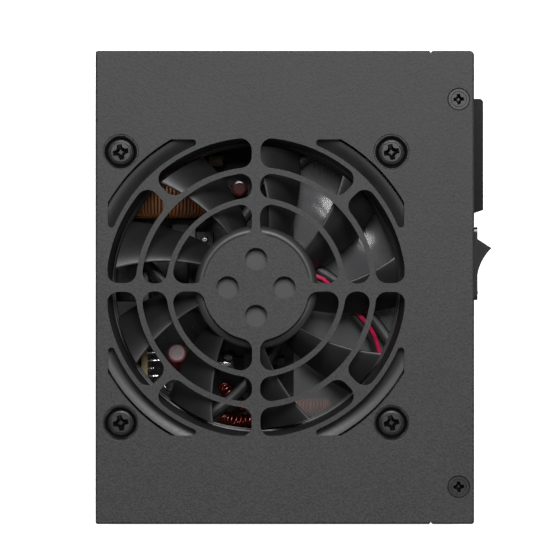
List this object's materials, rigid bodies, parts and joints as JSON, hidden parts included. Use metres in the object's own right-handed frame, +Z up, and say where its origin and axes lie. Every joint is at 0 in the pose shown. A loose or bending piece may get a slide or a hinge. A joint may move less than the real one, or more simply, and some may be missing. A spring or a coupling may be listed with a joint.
{
  "type": "power supply unit",
  "caption": "Compact black steel computer power supply with a slotted fan grille, mains inlet and rocker switch on the rear panel, and cable sockets on the front panel.",
  "frame": {"origin": "middle of the case's underside", "axes": "+X towards the rear panel with the mains inlet and switch, +Y along the case's long side, +Z up to the fan grille"},
  "size_m": [0.1059, 0.125, 0.0635],
  "materials": {
    "black_steel": "black powder coat, fine texture",
    "zinc_steel": "dark zinc plated",
    "fan_plastic": "smooth moulded black",
    "panel_plastic": "moulded black",
    "rocker_plastic": "semi-gloss black",
    "plated_brass": "plated",
    "steel": "bright",
    "magnet": "bonded ferrite",
    "lamination": "stacked laminations",
    "bronze": "sintered bronze",
    "copper": "enamelled copper wire",
    "red_wire": "smooth insulation",
    "black_wire": "smooth insulation",
    "blue_wire": "smooth insulation",
    "brown_wire": "smooth insulation",
    "green_wire": "smooth insulation",
    "white_plastic": "moulded",
    "clear_sheet": "clear film",
    "board": "solder mask",
    "board_core": "glass fibre board",
    "insulation": "film",
    "ferrite": "sintered ferrite",
    "tape": "insulating tape",
    "aluminium": "plain",
    "sleeve": "shrink sleeve",
    "red_sleeve": "shrink sleeve",
    "grey_block": "moulded",
    "epoxy": "moulded epoxy"
  },
  "bodies": {
    "case": {"air_baffle": "clear_sheet", "base_shell": "black_steel", "board_screw_1": "steel", "board_screw_2": "steel", "board_screw_3": "steel", "board_screw_4": "steel", "bridge_rectifier": "epoxy", "bulk_capacitor": "sleeve", "cover_screw_1": "zinc_steel", "cover_screw_2": "zinc_steel", "cpu_socket": "panel_plastic", "drive_socket": "panel_plastic", "earth_lead": "green_wire", "fan_bearing": "bronze", "fan_circuit_board": "board", "fan_coil": "copper", "fan_cover": "black_steel", "fan_frame": "fan_plastic", "fan_lead_black": "black_wire", "fan_lead_red": "red_wire", "fan_plug": "white_plastic", "fan_screw_1": "zinc_steel", "fan_screw_2": "zinc_steel", "fan_screw_3": "zinc_steel", "fan_screw_4": "zinc_steel", "fan_stator_core": "lamination", "filter_capacitor": "grey_block", "graphics_socket_1": "panel_plastic", "graphics_socket_2": "panel_plastic", "inlet_housing": "panel_plastic", "inlet_pin_earth": "plated_brass", "inlet_pin_line": "plated_brass", "inlet_pin_neutral": "plated_brass", "insulation_sheet": "insulation", "main_board": "board", "mains_filter_choke": "copper", "mains_lead_line": "brown_wire", "mains_lead_neutral": "blue_wire", "mains_lead_switched": "brown_wire", "motherboard_socket": "panel_plastic", "output_capacitor": "sleeve", "output_choke_1": "copper", "output_choke_2": "copper", "output_choke_3": "copper", "pfc_choke_core": "ferrite", "pfc_choke_winding": "copper", "primary_heatsink": "aluminium", "primary_transistor": "epoxy", "secondary_heatsink": "aluminium", "small_capacitor": "red_sleeve", "socket_board": "board_core", "switch_housing": "panel_plastic", "switch_terminal_1": "plated_brass", "switch_terminal_2": "plated_brass", "transformer_core": "ferrite", "transformer_winding": "tape"},
    "fan": {"fan_rotor": "fan_plastic", "fan_shaft": "steel", "fan_magnet": "magnet"},
    "rocker": {"switch_rocker": "rocker_plastic"}
  },
  "joints": [
    {"name": "fan_spin", "type": "hinge", "parent": "case", "child": "fan", "pos_m": [-0.0076, 0, 0.0537], "axis": [0, 0, 1], "continuous": true},
    {"name": "rocker_tilt", "type": "hinge", "parent": "case", "child": "rocker", "pos_m": [0.0475, 0.0064, 0.033], "axis": [0, 0, 1], "range_deg": [0, 33]}
  ]
}
